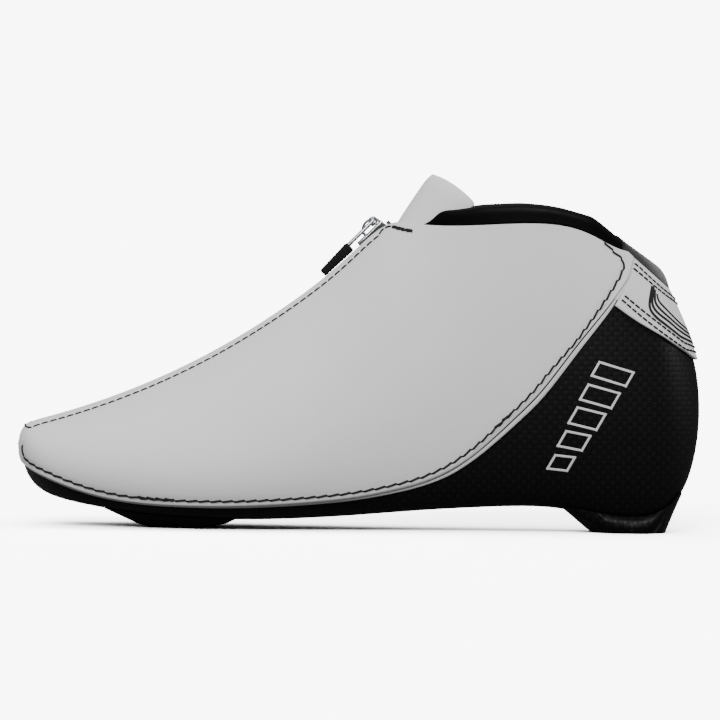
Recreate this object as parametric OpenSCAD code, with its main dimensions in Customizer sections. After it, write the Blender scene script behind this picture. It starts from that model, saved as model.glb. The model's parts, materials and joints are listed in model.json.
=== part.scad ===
// Low-cut moulded sports boot with a full-length zip cover, left foot.
// Toe towards -X, heel towards +X, lateral side towards -Y, ground at z = 0.
// The outer skin is one cubic B-spline surface at(s, v). Every sheet part is a
// patch of it between two offsets, so all the layers nest inside each other.

/* [Shell] */
// wall of the carbon shell, mm
carbon_wall = 1.6; // [1:0.1:3]
// wall of the soft cover, mm
cover_wall = 1.2; // [0.8:0.1:2]
// gap between two glued layers, mm
layer_gap = 0.4; // [0.2:0.05:0.8]

/* [Mounts] */
// distance between the two frame bolts, mm
mount_spacing = 195; // [150:5:195]
// frame bolt clearance radius, mm
bolt_r = 3.0; // [2:0.1:4]
// position of the front bolt along the boot, mm
front_bolt_x = -80; // [-85:1:-70]
// outer radius of the threaded inserts, mm
insert_r = 5; // [4:0.5:7]

/* [Zip] */
// radius of the track the slider runs on, mm
zip_r = 304.6; // [300:0.1:310]
// half of the open gap between the two rows of teeth, mm
zip_half_gap = 0.5; // [0.4:0.1:1]
// diameter of the wire of the pull, mm
pull_wire = 1.7; // [1:0.1:2.4]
// length of the rubber sleeve of the pull, mm
sleeve_len = 16; // [10:1:24]

/* [Hidden] */
shift_x = 0.145;
shift_y = -0.336;
zc = [-209, 339];
fine = 48;
heel_bolt_x = front_bolt_x + mount_spacing;

// bottom x z | top x z | floor half width, widest half width and its height,
// upper half width and its height, rim half width | sideways shift of the floor
st = [
 [-140.0, 33.0,-140.0, 33.0,  0,  0,.50,  0,.80,  0,  7],
 [-139.4, 22.0,-138.6, 41.2,  9, 17,.50, 13,.85,  4,  7],
 [-131.5, 13.0,-132.0, 42.6, 17, 29,.42, 20,.84,3.2,  6],
 [-117.0, 10.0,-114.5, 47.7, 25, 39,.36, 26,.80,3.2,  5],
 [ -96.0,  6.4, -93.0, 55.6, 31, 45,.31, 28,.80,3.2,  3],
 [ -72.0,  4.6, -69.0, 66.6, 34, 48,.27, 28,.80,3.2,  1],
 [ -47.0,  3.9, -45.0, 80.4, 32, 47,.26, 28,.81,3.2, -1],
 [ -21.0,  5.0, -21.0, 97.3, 28, 43,.27, 27,.81,3.2, -2],
 [  -2.0,  6.3,  -4.5,111.0, 26, 40,.28, 27,.82,3.2, -2],
 [  13.0,  7.6,  12.0,129.6, 24, 38,.29, 28,.81,  5, -2],
 [  32.0,  9.2,  22.5,125.6, 23, 36,.30, 31,.78, 15, -1],
 [  54.0, 10.4,  44.0,126.2, 22, 34,.30, 34,.74, 27,  0],
 [  76.0, 11.4,  64.0,128.0, 22, 33,.30, 35,.72, 31,  0],
 [  91.0,  9.0,  80.0,128.2, 20, 33,.32, 35,.72, 32,  0],
 [ 104.0,  6.0,  92.0,125.4, 19, 33,.32, 35,.72, 32,  0],
 [ 121.0,  4.5, 101.0,120.0, 16, 31,.32, 33,.70, 31,  0],
 [ 133.0, 12.0, 105.5,117.8, 14, 29,.32, 31,.70,29.5, 0],
 [ 139.2, 27.0, 107.0,117.2, 13, 28,.34, 29,.70,28.6, 0],
 [ 142.0, 47.0, 107.8,116.8, 13, 26,.36, 28,.70,28,   0],
 [ 140.6, 68.0, 108.3,116.5, 12, 24,.38, 27,.72,27.6, 0],
 [ 135.2, 84.0, 108.7,116.2, 11, 22,.40, 26,.74,27.3, 0],
 [ 127.2,100.4, 109.0,116.0, 11, 20,.42, 24,.76,27,   0]];
m = len(st);

function half(r) = [[0, 0], [r[4]*.6, 0], [r[4], 0], [r[5], r[6]], [r[7], r[8]], [r[9], 1]];
function station(r) = let(h = half(r)) [for (k = [-7:7]) let(q = h[min(abs(k), 5)], g = k < 0 ? -1 : 1)
    [r[0] + (r[2] - r[0])*q[1], g*q[0] + r[10]*(1 - q[1]), r[1] + (r[3] - r[1])*q[1]]];
raw = [for (r = st) station(r)];
net = concat([raw[0], raw[0]], raw, [raw[m-1], raw[m-1]]);

function bs(t) = [pow(1-t, 3), 3*t*t*t - 6*t*t + 4, -3*t*t*t + 3*t*t + 3*t + 1, t*t*t]/6;

// the outer skin: s = -1 at the toe tip to m at the back of the ankle,
// v = -6 at the lateral rim, 0 on the floor centre line, 6 at the medial rim
function at(s, v) = let(
    x = s + 1, i = min(max(floor(x), 0), m), a = bs(x - i),
    y = v + 6, j = min(max(floor(y), 0), 11), b = bs(y - j))
    a*[for (k = [0:3]) let(n = net[i + k]) b*[n[j], n[j+1], n[j+2], n[j+3]]];
function unit(p) = p/norm(p);
function nrm(s, v) = let(e = 0.05,
    a = max(s - e, -0.97), b = min(s + e, m - 0.02), c = max(v - e, -5.97), d = min(v + e, 5.97))
    unit(cross(at(a, d) - at(a, c), at(b, v) - at(a, v)));
function sk(s, v, d) = at(s, v) + d*nrm(s, v);

// height of the edge of the soft cover over the carbon shell, at each x
edge_line = [[-141,34],[-139,27.5],[-136,25],[-131.7,23],[-124,20],[-117,17.3],[-104.4,13.9],[-91,12],[-78,11.3],
  [-58,11],[-45,11.3],[-25,12.4],[-5,14.3],[8,16.5],[21.5,19.6],[34.8,24],[48,32.8],[61.3,45.4],
  [74.6,58.6],[90,79.5],[99,90.7],[104,97.3],[109.8,106.4],[111,111.8],[111.6,116],[113,130]];
// top edge of the carbon shell, hidden under the cover and the strap
shell_line = [[-141,37],[-136,32],[-131.7,30],[-117,24],[-104.4,21],[-78,19],[-45,19],[-25,20],[-5,22],
  [8,25],[21.5,29],[34.8,36],[48,45],[61.3,56],[74.6,68],[90,87],[99,98],[104,102],[113,110]];

// v of a line on the lateral side, by halving
function cut(s, line, lo = -6, hi = 0, n = 16) = n == 0 ? (lo + hi)/2 :
    let(c = (lo + hi)/2, p = at(s, c)) p[2] > lookup(p[0], line) ? cut(s, line, c, hi, n-1) : cut(s, line, lo, c, n-1);
toe_s = -0.5;
row_step = 0.45333;
shell_end = toe_s + 45*row_step;
cover_end = toe_s + 48*row_step;
edge_tab = [for (s = [toe_s:0.25:m]) [s, cut(s, edge_line)]];
shell_tab = concat([for (s = [toe_s:0.25:15.5]) [s, cut(s, shell_line)]], [[17.5, -4.1], [shell_end, -3.4]]);
function edge_v(s) = lookup(s, edge_tab);
function shell_v(s) = lookup(s, shell_tab);

function flat(a) = [for (r = a) each r];
function vol(p, t) = [for (f = t) cross(p[f[0]], p[f[1]])*p[f[2]]]*[for (f = t) 1];
function out(p, t) = vol(p, t) < 0 ? t : [for (f = t) [f[0], f[2], f[1]]];

// closed sheet between two grids of points
module slab(o, n) {
    r = len(o); c = len(o[0]); k = r*c;
    p = concat(flat(o), flat(n));
    t = concat(
        [for (i = [0:r-2], j = [0:c-2]) each let(a = i*c + j) [[a, a+c, a+1], [a+c, a+c+1, a+1]]],
        [for (i = [0:r-2], j = [0:c-2]) each let(a = k + i*c + j) [[a, a+1, a+c], [a+1, a+c+1, a+c]]],
        [for (i = [0:r-2]) each let(a = i*c) [[a, k+a, a+c], [a+c, k+a, k+a+c]]],
        [for (i = [0:r-2]) each let(a = i*c + c - 1) [[a, a+c, k+a], [a+c, k+a+c, k+a]]],
        [for (j = [0:c-2]) each [[j, j+1, k+j], [j+1, k+j+1, k+j]]],
        [for (j = [0:c-2]) each let(a = (r-1)*c + j) [[a, k+a, a+1], [a+1, k+a, k+a+1]]]);
    polyhedron(points = p, faces = out(p, t), convexity = 8);
}

// closed sweep through rings of points, capped at both ends
module sweep(g) {
    r = len(g); c = len(g[0]);
    mid = [for (e = [g[0], g[r-1]]) [for (q = e) 1]*e/c];
    p = concat(flat(g), mid);
    t = concat(
        [for (i = [0:r-2], j = [0:c-1]) each let(a = i*c + j, b = i*c + (j+1)%c) [[a, a+c, b], [a+c, b+c, b]]],
        [for (j = [0:c-1]) [j, (j+1)%c, r*c]],
        [for (j = [0:c-1]) [(r-1)*c + (j+1)%c, (r-1)*c + j, r*c + 1]]);
    polyhedron(points = p, faces = out(p, t), convexity = 8);
}

function lerp(a, b, t) = a + (b - a)*t;
function steps(a, b, n) = [for (i = [0:n]) lerp(a, b, i/n)];
// patch of the skin; lo and hi are functions of s giving v
module patch(s0, s1, n, lo, hi, c, d0, d1)
    let(g = steps(s0, s1, n))
    slab([for (s = g) [for (v = steps(lo(s), hi(s), c)) sk(s, v, d1)]],
         [for (s = g) [for (v = steps(lo(s), hi(s), c)) sk(s, v, d0)]]);

module place() translate([shift_x, shift_y, 0]) children();
module bore(x, r, z0, z1) translate([x, 0, z0]) cylinder(r = r, h = z1 - z0, $fn = fine);

module carbon_shell() color([.07,.07,.075]) place() difference() {
    patch(toe_s, shell_end, 45, function(s) shell_v(s), function(s) -shell_v(s), 24, -carbon_wall, 0);
    bore(front_bolt_x, insert_r + 0.1, 0, 12);
    bore(heel_bolt_x, insert_r + 0.1, 0, 14);
}

// a point on the shell's own straight rulings, so a bonded block lies flush
function on_shell(s, v, d) = let(k = floor((s - toe_s)/row_step + 0.001), t = (s - toe_s)/row_step - k)
    lerp(sk(toe_s + k*row_step, v, d), sk(toe_s + (k+1)*row_step, v, d), t);
// block whose top follows the shell and whose bottom is flat at z = 0
module block(k0, k1, vs, x0, x1, w, round_x) {
    n = 3*(k1 - k0);
    top = [for (i = [0:n]) [for (v = steps(-vs, vs, 8)) on_shell(toe_s + (k0 + i/3)*row_step, v, 0.2)]];
    bottom = [for (i = [0:n]) let(t = i/n) [for (j = [0:8]) let(u = j/4 - 1)
        [lerp(x0, x1, t) + round_x*pow(abs(u), 3)*(1 - 2*t), top[i][4][1]*0.7 + w*u*(1 - 0.3*pow(abs(2*t - 1), 4)), 0]]];
    slab(bottom, top);
}
module front_mount_block() color([.06,.06,.065]) place() difference() {
    block(9, 14, 1.55, -90, -56.5, 20, 5);
    bore(front_bolt_x, insert_r, -1, 12);
}
module heel_mount_block() color([.06,.06,.065]) place() difference() {
    block(29, 37, 1.65, 96.5, 128, 15.5, 5);
    bore(heel_bolt_x, insert_r, -1, 14);
}

module insert(x, top) translate([x, 0, 0]) difference() {
    union() {
        cylinder(r = insert_r - 0.05, h = top, $fn = fine);
        translate([0, 0, top - 1]) cylinder(r = insert_r + 3, h = 1, $fn = fine);
    }
    translate([0, 0, -1]) cylinder(r = bolt_r, h = top + 2, $fn = fine);
}
module front_mount_insert() color([.6,.6,.62]) place() insert(front_bolt_x, 9.2);
module heel_mount_insert() color([.6,.6,.62]) place() insert(heel_bolt_x, 10);

// level inner floor pieces: the floor of the skin, drawn in and lifted
function low(s, v, h, k) = let(p = at(s, v), c = at(s, 0)) [p[0]*0.975 + 0.5, c[1] + (p[1] - c[1])*k, p[2] + h];
module sole_piece(s0, s1, vs, h0, h1, k)
    slab([for (s = steps(s0, s1, 26)) [for (v = steps(-vs, vs, 8)) low(s, v, h1, k)]],
         [for (s = steps(s0, s1, 26)) [for (v = steps(-vs, vs, 8)) low(s, v, h0, k)]]);
module insole_board() color([.55,.45,.32]) place() sole_piece(1.3, 15.2, 1.9, 5.0, 6.4, 0.9);
module footbed() color([.2,.2,.22]) place() sole_piece(1.6, 15.0, 1.9, 6.8, 10.2, 0.86);

module shell_lining() color([.16,.16,.17]) place() difference() {
    patch(toe_s + 3*row_step, toe_s + 45*row_step, 42, function(s) -lookup(s, [[8.5,4.1],[12,4.65]]), function(s) lookup(s, [[8.5,4.1],[12,4.65]]), 22, -3.4, -2.2);
    bore(front_bolt_x, insert_r + 3.4, 0, 16);
    bore(heel_bolt_x, insert_r + 3.4, 0, 16);
}

function quarter_top(s) = lookup(s, [[-1,-4.9],[9,-4.9],[12,-5.3],[22,-5.3]]);
module patch_medial(s0, s1, n, lo, hi, c, d0, d1)
    patch(s0, s1, n, function(s) -hi(s), function(s) -lo(s), c, d0, d1);
module quarter_lateral() color([.75,.75,.76]) place()
    patch(toe_s + 9*row_step, shell_end, 36, function(s) quarter_top(s), function(s) shell_v(s) - 0.12, 7, -1.5, -0.3);
module quarter_medial() color([.75,.75,.76]) place()
    patch_medial(toe_s + 9*row_step, shell_end, 36, function(s) quarter_top(s), function(s) shell_v(s) - 0.12, 7, -1.5, -0.3);
module back_panel() color([.75,.75,.76]) place()
    patch(shell_end + 0.1, m - 0.25, 6, function(s) -5.45, function(s) 5.45, 26, -1.5, -0.3);

// front of the inner upper: crosses under the zip from side to side
function over(s, w, d, q) = let(t = abs(w) < 0.2 ? 0 : (abs(w) - 0.2)/0.8, v = lerp(-5.97, q, t), u = (w + 0.2)/0.4,
    a = sk(s, v, d), b = sk(s, -v, d))
    abs(w) < 0.2 ? lerp(a, b, u) + [0, 0, 0.2*(1 - pow(2*u - 1, 2))] : w < 0 ? a : b;
function dip(w) = let(t = min(1, max(0, (0.62 - abs(w))/0.32))) 1.8*t*t*(3 - 2*t);
module toe_vamp() color([.3,.3,.31]) place() let(g = steps(toe_s + 3*row_step, toe_s + 8.8*row_step, 8))
    slab([for (s = g) [for (w = steps(-1, 1, 20)) over(s, w, -0.5 - dip(w), shell_v(s) - 0.15)]],
         [for (s = g) [for (w = steps(-1, 1, 20)) over(s, w, -1.6 - dip(w), shell_v(s) - 0.15)]]);

cover_out = layer_gap + 0.05 + cover_wall;
module cover_lateral() color([.78,.78,.79]) place()
    patch(toe_s, cover_end, 48, function(s) -6, function(s) edge_v(s), 10, layer_gap + 0.05, cover_out);
module cover_medial() color([.78,.78,.79]) place()
    patch_medial(cover_end, toe_s, 48, function(s) -6, function(s) edge_v(s), 10, layer_gap + 0.05, cover_out);

// bridge that joins the two cover halves in front of the zip
function bridge(s, u, d) = let(a = sk(s, -5.99, d), b = sk(s, 5.99, d), g = min(0.3, 0.15/max(0.3, norm(b - a))))
    lerp(a, b, lerp(g, 1 - g, u)) + [0, 0, 0.5*u*(1 - u)];
module toe_bridge() color([.78,.78,.79]) place() let(g = steps(0.35, 1.45, 6))
    slab([for (s = g) [for (u = steps(0, 1, 6)) bridge(s, u, layer_gap + 0.05)]],
         [for (s = g) [for (u = steps(0, 1, 6)) bridge(s, u, cover_out)]]);

// thin edge binding that shows just below the cover
module rand_lateral() color([.72,.72,.73]) place()
    patch(0, 15.2, 40, function(s) edge_v(s) + 0.02, function(s) edge_v(s) + lookup(s, [[0,.09],[5,.07],[10,.06],[13,.08],[16,.06]]), 1, 0.1, 0.9);
module rand_medial() color([.72,.72,.73]) place()
    patch_medial(0, 15.2, 40, function(s) edge_v(s) + 0.02, function(s) edge_v(s) + lookup(s, [[0,.09],[5,.07],[10,.06],[13,.08],[16,.06]]), 1, 0.1, 0.9);

// strap round the back of the heel, between its lower line and the ankle rim
strap_s = [[0,19.3],[.1,19.29],[.2,19.27],[.3,19.2],[.4,19],[.5,18.62],[.6,18.2],[.7,17.75],[.8,17.05],[.9,16.15],[1,14.98]];
strap_v = [[0,0],[.1,.7],[.2,1.3],[.3,1.9],[.4,2.4],[.5,2.9],[.6,3.28],[.7,3.6],[.8,3.88],[.9,4.13],[1,4.33]];
strap_front = 14.98;
strap_top = m - 0.05;
function strap_at(a, b) = let(g = a < 0 ? -1 : 1, t = abs(a),
    l = [lookup(t, strap_s), g*lookup(t, strap_v)], u = [strap_top, 5.55*a],
    sb = lerp(strap_front, strap_top, b), side = [sb, g*(-edge_v(sb) - 0.08)], e = [sb, g*lerp(4.33, 5.55, b)])
    lerp(l, u, b) + (side - e)*pow(t, 6);
module rear_strap() color([.77,.77,.78]) place()
    slab([for (b = steps(0, 1, 8)) [for (a = steps(-1, 1, 30)) let(q = strap_at(a, b)) sk(q[0], q[1], 1.5)]],
         [for (b = steps(0, 1, 8)) [for (a = steps(-1, 1, 30)) let(q = strap_at(a, b)) sk(q[0], q[1], 0.4)]]);

// heel tab: padded band standing on the ankle rim behind the strap
function tab_ring(a) = let(
    lo = at(m, 5.5*a), n0 = nrm(m - 0.3, 5.5*a), n = unit([n0[0], n0[1], 0]),
    w = pow(abs(a), 2),
    up = [lerp(122.6, 104.2, w), lo[1]*0.97, lerp(111.8, 124.4, w)] - [0, 0, 0],
    r = up - lo)
    [lo + n*1.5 + r*.1, lo + n*2.1 + r*.37, lo + n*1.9 + r*.7, lo + n*.4 + r*.97, lo - n*1.8 + r*.99,
     lo - n*3.6 + r*.75, lo - n*4.6 + r*.3, lo - n*5 - r*.4, lo - n*4.6 - r*.8, lo - n*3.6 - r*.8, lo - n*2.6 - r*.1, lo - n*.8 + r*.14];
module heel_tab() color([.25,.25,.26]) place() sweep([for (a = steps(-0.975, 0.975, 26)) tab_ring(a)]);

// padded collar rolls along both sides of the ankle opening
collar_top = [[27,126.8],[30,129.6],[33,131.6],[39.3,133.3],[50,134.4],[66.3,135.3],[76,134.6],[82.8,133.6],[95.3,130.3],[103.6,125.2]];
collar_thick = [[26,.08],[28,.12],[35,.42],[41,.75],[50,1],[120,1]];
collar_form = [[.2,-.8],[.3,.35],[.45,.65],[-.3,.9],[-2,1],[-4,.97],[-5.9,.7],[-6.9,.1],[-6.9,-6],[-6.3,-10],[-4.6,-10],[-3.9,-2],[-2.4,-.9]];
function collar_ring(s, g) = let(p = at(s, 6), q = at(s + 0.1, 6), f = unit([q[0]-p[0], q[1]-p[1], 0]),
    n = [-f[1], f[0], 0], h = lookup(p[0], collar_top) - p[2], w = min(1, h/4), k = lookup(p[0], collar_thick))
    [for (c = collar_form) let(r = p + n*c[0]*(c[0] > 0 ? w : k) + [0, 0, c[1] > 0 ? c[1]*h : c[1]*max(w*k, 0.15)]) [r[0], g*r[1], r[2]]];
module collar(g) sweep([for (s = steps(10.05, 15.7, 26)) collar_ring(s, g)]);
module collar_lateral() color([.06,.06,.06]) place() collar(-1);
module collar_medial() color([.06,.06,.06]) place() collar(1);

// tongue, in a lower fixed half and an upper half that folds forward
function tongue_low(t, u, d) = let(x = lerp(-58, 9.8, t), r = zip_r + 6.5 + d, w = lerp(15, 17, t),
    z = zc[1] - sqrt(r*r - pow(x - zc[0], 2)))
    [x + lerp(2, 8, t)*u*u, w*sin(80*u)/sin(80), z - lerp(6, 12.5, t)*u*u];
module tongue_lower() color([.74,.74,.75]) place()
    slab([for (t = steps(0, 1, 10)) [for (u = steps(-1, 1, 10)) tongue_low(t, u, 0)]],
         [for (t = steps(0, 1, 10)) [for (u = steps(-1, 1, 10)) tongue_low(t, u, 2.6)]]);
function tongue_up(t, u, d) = let(w = lerp(15.5, 18.2, t), c = 1 - cos(80*u), k = 1 - cos(80), y = w*sin(80*u)/sin(80),
    p = [lerp(11.6, 28.6, pow(t, 1.12)), 0, lerp(121.2, 147.0, t)])
    [p[0] + lerp(12.5, 17, t)*c/k + d*cos(70*u)*.84, y - d*sin(70*u), p[2] - lerp(10, 12.5, t)*c/k - d*.5*cos(70*u)];
module tongue_upper() color([.77,.77,.78]) place()
    slab([for (t = steps(0, 1, 8)) [for (u = steps(-1, 1, 14)) tongue_up(t, u, 0)]],
         [for (t = steps(0, 1, 8)) [for (u = steps(-1, 1, 14)) tongue_up(t, u, 2.8)]]);

// pads behind the lining
module ankle_pad(g) let(ss = steps(11.2, 15.6, 12), vv = steps(3.1, 4.5, 8))
    slab([for (s = ss) [for (v = vv) sk(s, g*v, -3.8)]],
         [for (i = [0:12]) [for (j = [0:8]) sk(ss[i], g*vv[j], -4.6 - 3.4*sin(180*i/12)*sin(180*j/8))]]);
module ankle_pad_lateral() color([.12,.12,.13]) place() ankle_pad(-1);
module ankle_pad_medial() color([.12,.12,.13]) place() ankle_pad(1);
module heel_pad() color([.12,.12,.13]) place() let(ss = steps(17, 19.5, 8), vv = steps(-3, 3, 12))
    slab([for (s = ss) [for (v = vv) sk(s, v, -3.8)]],
         [for (i = [0:8]) [for (j = [0:12]) sk(ss[i], vv[j], -4.6 - 2.6*sin(180*i/8)*sin(180*j/12))]]);

// everything on the zip turns about one axis, so it is drawn as arcs
module arc(a0, a1, pts) translate([zc[0], 0, zc[1]]) rotate([90, 0, 0]) rotate([0, 0, a0])
    rotate_extrude(angle = a1 - a0, $fn = 240) polygon(pts);
zip_top = -43.7;
zip_bottom = -75.9;
g0 = zip_half_gap;
module tape(g) arc(zip_bottom, zip_top, [for (q = [[1.35,g0],[1.35,3.2],[2.95,5.2],[3.4,5.2],[1.8,3.2],[1.8,g0]]) [zip_r + q[0], -g*q[1]]]);
module teeth(g) arc(zip_bottom + 0.5, zip_top - 0.35, [for (q = [[.35,g0],[.35,2.4],[1.3,2.4],[1.3,g0]]) [zip_r + q[0], -g*q[1]]]);
module zip_tape_lateral() color([.1,.1,.1]) place() tape(-1);
module zip_tape_medial() color([.1,.1,.1]) place() tape(1);
module zip_teeth_lateral() color([.13,.13,.13]) place() teeth(-1);
module zip_teeth_medial() color([.13,.13,.13]) place() teeth(1);
module zip_bottom_stop() color([.7,.7,.72]) place() arc(zip_bottom, zip_bottom + 0.4, [[zip_r + .1,-2.8],[zip_r + .1,2.8],[zip_r + 1.3,2.8],[zip_r + 1.3,-2.8]]);
module zip_top_stop_lateral() color([.7,.7,.72]) place() arc(zip_top - 0.3, zip_top, [[zip_r + .1,g0],[zip_r + .1,2.8],[zip_r + 1.3,2.8],[zip_r + 1.3,g0]]);
module zip_top_stop_medial() color([.7,.7,.72]) place() arc(zip_top - 0.3, zip_top, [[zip_r + .1,-g0],[zip_r + .1,-2.8],[zip_r + 1.3,-2.8],[zip_r + 1.3,-g0]]);

// slider: plates above and below the tapes, joined by a thin neck
slide_a = -46.7;
slide_b = -44.1;
pivot_a = -44.6;
pivot_r = zip_r - 4.2;
pivot = [zc[0] + pivot_r*cos(pivot_a), 0, zc[1] + pivot_r*sin(pivot_a)];
module slider_body() color([.78,.78,.8]) place() {
    arc(slide_a, slide_b, [for (q = [[-2.2,-3.4],[-2.2,3.4],[-1.6,4],[-.8,4],[-.8,.2],[2.1,.2],[2.1,2.9],[2.6,2.9],[2.6,-2.9],[2.1,-2.9],[2.1,-.2],[-.8,-.2],[-.8,-4],[-1.6,-4]]) [zip_r + q[0], q[1]]]);
}
module slider_bridge() color([.75,.75,.77]) place() difference() {
    translate(pivot) rotate([0, -pivot_a, 0]) union() {
        rotate([90, 0, 0]) cylinder(r = 2.0, h = 2.4, center = true, $fn = fine);
        translate([.85, 0, 0]) cube([1.8, 2.4, 3.6], center = true);
    }
    translate(pivot) rotate([90, 0, 0]) cylinder(r = pull_wire/2 + 0.1, h = 6, center = true, $fn = fine);
}
// pull: a bent wire through the bridge, and a rubber sleeve on its tail
pull_dir = 135.2;
module along() translate(pivot) rotate([0, -pull_dir, 0]) children();
module pull_link() color([.8,.8,.82]) place() along() {
    wr = pull_wire/2;
    rotate([90, 0, 0]) cylinder(r = wr, h = 5.2, center = true, $fn = fine);
    for (g = [-1, 1]) translate([0, g*2.6, 0]) {
        sphere(r = wr, $fn = 24);
        rotate([0, 0, 0]) cylinder(r = wr, h = 17.5, $fn = 24);
        translate([0, 0, 17.5]) sphere(r = wr, $fn = 24);
    }
    translate([0, 0, 17.5]) rotate([90, 0, 0]) cylinder(r = wr, h = 5.2, center = true, $fn = fine);
}
module pull_sleeve() color([.05,.05,.05]) place() along() difference() {
    hull() for (y = [-3.2, 3.2], z = [15.4, 15.4 + sleeve_len - 3.4]) translate([0, y, z + .7]) rotate([0, 90, 0]) cylinder(r = 1.3, h = 3.4, center = true, $fn = 24);
    translate([-.95, -3.6, 13]) cube([1.9, 7.2, 5.5]);
}

carbon_shell();
front_mount_block();
heel_mount_block();
front_mount_insert();
heel_mount_insert();
insole_board();
footbed();
shell_lining();
quarter_lateral();
quarter_medial();
back_panel();
toe_vamp();
cover_lateral();
cover_medial();
toe_bridge();
rand_lateral();
rand_medial();
rear_strap();
heel_tab();
collar_lateral();
collar_medial();
tongue_lower();
tongue_upper();
ankle_pad_lateral();
ankle_pad_medial();
heel_pad();
zip_tape_lateral();
zip_tape_medial();
zip_teeth_lateral();
zip_teeth_medial();
zip_bottom_stop();
zip_top_stop_lateral();
zip_top_stop_medial();
slider_body();
slider_bridge();
pull_link();
pull_sleeve();
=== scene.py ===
import json
import math
import bpy
import numpy as np
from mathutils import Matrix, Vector
from mathutils.bvhtree import BVHTree
from mathutils.kdtree import KDTree

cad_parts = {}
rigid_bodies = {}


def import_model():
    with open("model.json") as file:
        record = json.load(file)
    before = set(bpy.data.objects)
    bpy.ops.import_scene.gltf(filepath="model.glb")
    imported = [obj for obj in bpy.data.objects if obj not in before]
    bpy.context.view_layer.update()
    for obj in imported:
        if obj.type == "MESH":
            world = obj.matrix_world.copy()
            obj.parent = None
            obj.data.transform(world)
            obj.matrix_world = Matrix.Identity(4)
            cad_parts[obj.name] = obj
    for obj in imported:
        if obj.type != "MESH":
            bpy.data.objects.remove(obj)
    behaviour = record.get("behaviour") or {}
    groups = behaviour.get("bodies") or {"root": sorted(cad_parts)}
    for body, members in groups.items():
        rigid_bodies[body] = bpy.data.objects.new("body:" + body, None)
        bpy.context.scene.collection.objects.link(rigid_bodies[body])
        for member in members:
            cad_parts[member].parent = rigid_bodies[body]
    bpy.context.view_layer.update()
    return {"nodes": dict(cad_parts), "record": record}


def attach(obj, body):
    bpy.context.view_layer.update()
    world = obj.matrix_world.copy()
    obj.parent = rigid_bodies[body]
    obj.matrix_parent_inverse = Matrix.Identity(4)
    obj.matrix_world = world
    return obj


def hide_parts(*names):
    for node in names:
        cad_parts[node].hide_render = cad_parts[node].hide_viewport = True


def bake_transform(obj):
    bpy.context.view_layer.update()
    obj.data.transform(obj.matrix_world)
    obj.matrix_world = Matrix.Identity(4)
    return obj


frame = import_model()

mm = 0.001
ops = bpy.ops
print("frame loaded")

# camera, floor and light

view = {"lens": 400, "wide": 299.2, "height": 70.2, "acrossX": -0.7, "rise": 1.5, "roll": -0.72}
distance = view["wide"] * mm * view["lens"] / 36
rise = math.radians(view["rise"])
ops.object.camera_add(location=(view["acrossX"] * mm, -distance * math.cos(rise),
                                view["height"] * mm + distance * math.sin(rise)),
                      rotation=(math.radians(90) - rise, math.radians(view["roll"]), 0))
camera = bpy.context.object
camera.data.lens = view["lens"]
camera.data.sensor_width = 36
camera.data.clip_end = 50
bpy.context.scene.camera = camera


class Value:  # a socket that can be used in sums

    def __init__(self, shader, socket):
        self.shader = shader
        self.socket = socket

    def calc(self, operation, other, swap=False):
        pair = (other, self) if swap else (self, other)
        return self.shader.add("ShaderNodeMath", {"operation": operation}, {0: pair[0], 1: pair[1]})

    def __add__(self, other):
        return self.calc("ADD", other)

    def __radd__(self, other):
        return self.calc("ADD", other, True)

    def __sub__(self, other):
        return self.calc("SUBTRACT", other)

    def __rsub__(self, other):
        return self.calc("SUBTRACT", other, True)

    def __mul__(self, other):
        return self.calc("MULTIPLY", other)

    def __rmul__(self, other):
        return self.calc("MULTIPLY", other, True)

    def __truediv__(self, other):
        return self.calc("DIVIDE", other)

    def __mod__(self, other):
        return self.calc("FLOORED_MODULO", other)

    def __gt__(self, other):
        return self.calc("GREATER_THAN", other)

    def __pow__(self, other):
        return self.calc("POWER", other)


class Shader:
    def __init__(self, name, tree=None):
        if tree is None:
            self.material = bpy.data.materials.new(name)
            self.material.use_nodes = True
            tree = self.material.node_tree
        self.tree = tree
        self.tree.nodes.clear()

    def add(self, kind, settings, inputs, out=0):
        node = self.tree.nodes.new(kind)
        for key, value in settings.items():
            setattr(node, key, value)
        for key, value in inputs.items():
            if isinstance(value, Value):
                self.tree.links.new(value.socket, node.inputs[key])
            else:
                node.inputs[key].default_value = value
        return Value(self, node.outputs[out]) if len(node.outputs) else None

    def one(self, operation, value):
        return self.add("ShaderNodeMath", {"operation": operation}, {0: value})

    def place(self, axis):
        spot = self.add("ShaderNodeTexCoord", {}, {}, "Object")
        return self.add("ShaderNodeSeparateXYZ", {}, {0: spot}, axis)

    def noise(self, scale, detail=3.0):
        spot = self.add("ShaderNodeTexCoord", {}, {}, "Object")
        grain = {"Vector": spot, "Scale": scale, "Detail": detail, "Roughness": 0.55}
        return self.add("ShaderNodeTexNoise", {}, grain, "Fac")

    def mix(self, factor, a, b):
        return self.add("ShaderNodeMix", {"data_type": "RGBA"}, {0: factor, 6: a, 7: b}, 2)

    def bump(self, height, distance, strength=1.0):
        return self.add("ShaderNodeBump", {}, {"Height": height, "Distance": distance, "Strength": strength})

    def finish(self, **inputs):
        inputs = {key.replace("_", " "): value for key, value in inputs.items()}
        shade = self.add("ShaderNodeBsdfPrincipled", {}, inputs)
        self.add("ShaderNodeOutputMaterial", {}, {"Surface": shade})
        return self.material


def grey(level):
    return (level, level, level, 1.0)


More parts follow.
